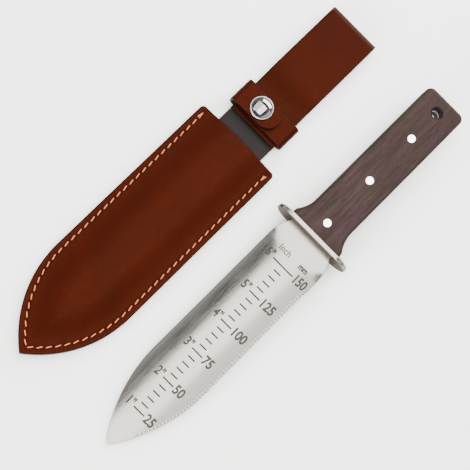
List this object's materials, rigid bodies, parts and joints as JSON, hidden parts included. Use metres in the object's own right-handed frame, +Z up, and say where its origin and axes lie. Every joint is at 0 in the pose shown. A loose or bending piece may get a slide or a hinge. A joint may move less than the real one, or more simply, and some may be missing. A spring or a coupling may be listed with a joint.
{
  "type": "hori hori knife",
  "caption": "Hori hori digging knife with a dished, ruled, part-serrated blade, oval guard and wooden full-tang handle, and its stitched leather belt sheath with a snap strap.",
  "frame": {"origin": "middle of the set's footprint, on the surface it lies on", "axes": "+X along both tools from their points to their butt ends, +Y from the knife to the sheath, +Z up"},
  "size_m": [0.3003, 0.1364, 0.0287],
  "materials": {
    "blade_steel": "satin, brushed across the blade, etched scale",
    "guard_steel": "polished satin",
    "pin_metal": "bright",
    "handle_wood": "dark oiled hardwood, lengthwise grain",
    "leather": "smooth red-brown, burnished dark edges, near-black flesh side",
    "thread": "waxed twisted thread",
    "snap_nickel": "mirror nickel",
    "rivet_nickel": "nickel"
  },
  "bodies": {
    "knife": {"blade": "blade_steel", "guard": "guard_steel", "handle_scale_top": "handle_wood", "handle_scale_bottom": "handle_wood", "handle_pin_front": "pin_metal", "handle_pin_middle": "pin_metal", "handle_pin_rear": "pin_metal"},
    "sheath": {"back_panel": "leather", "welt": "leather", "front_panel": "leather", "seam_stitches_front": "thread", "seam_stitches_back": "thread", "strap": "leather", "snap_stud": "snap_nickel", "snap_post": "snap_nickel", "loop_rivet_posts": "rivet_nickel", "loop_rivet_caps": "rivet_nickel"},
    "strap_flap": {"strap_flap": "leather", "snap_cap": "snap_nickel", "snap_socket": "snap_nickel"}
  },
  "joints": [
    {"name": "sheath_lift", "type": "slide", "parent": "knife", "child": "sheath", "axis": [0, 0, 1], "range_m": [0, 0.12]},
    {"name": "strap_flap_swing", "type": "hinge", "parent": "sheath", "child": "strap_flap", "pos_m": [0.06405, 0.05922, 0.01015], "axis": [-1, 0, 0], "range_deg": [0, 135]}
  ]
}
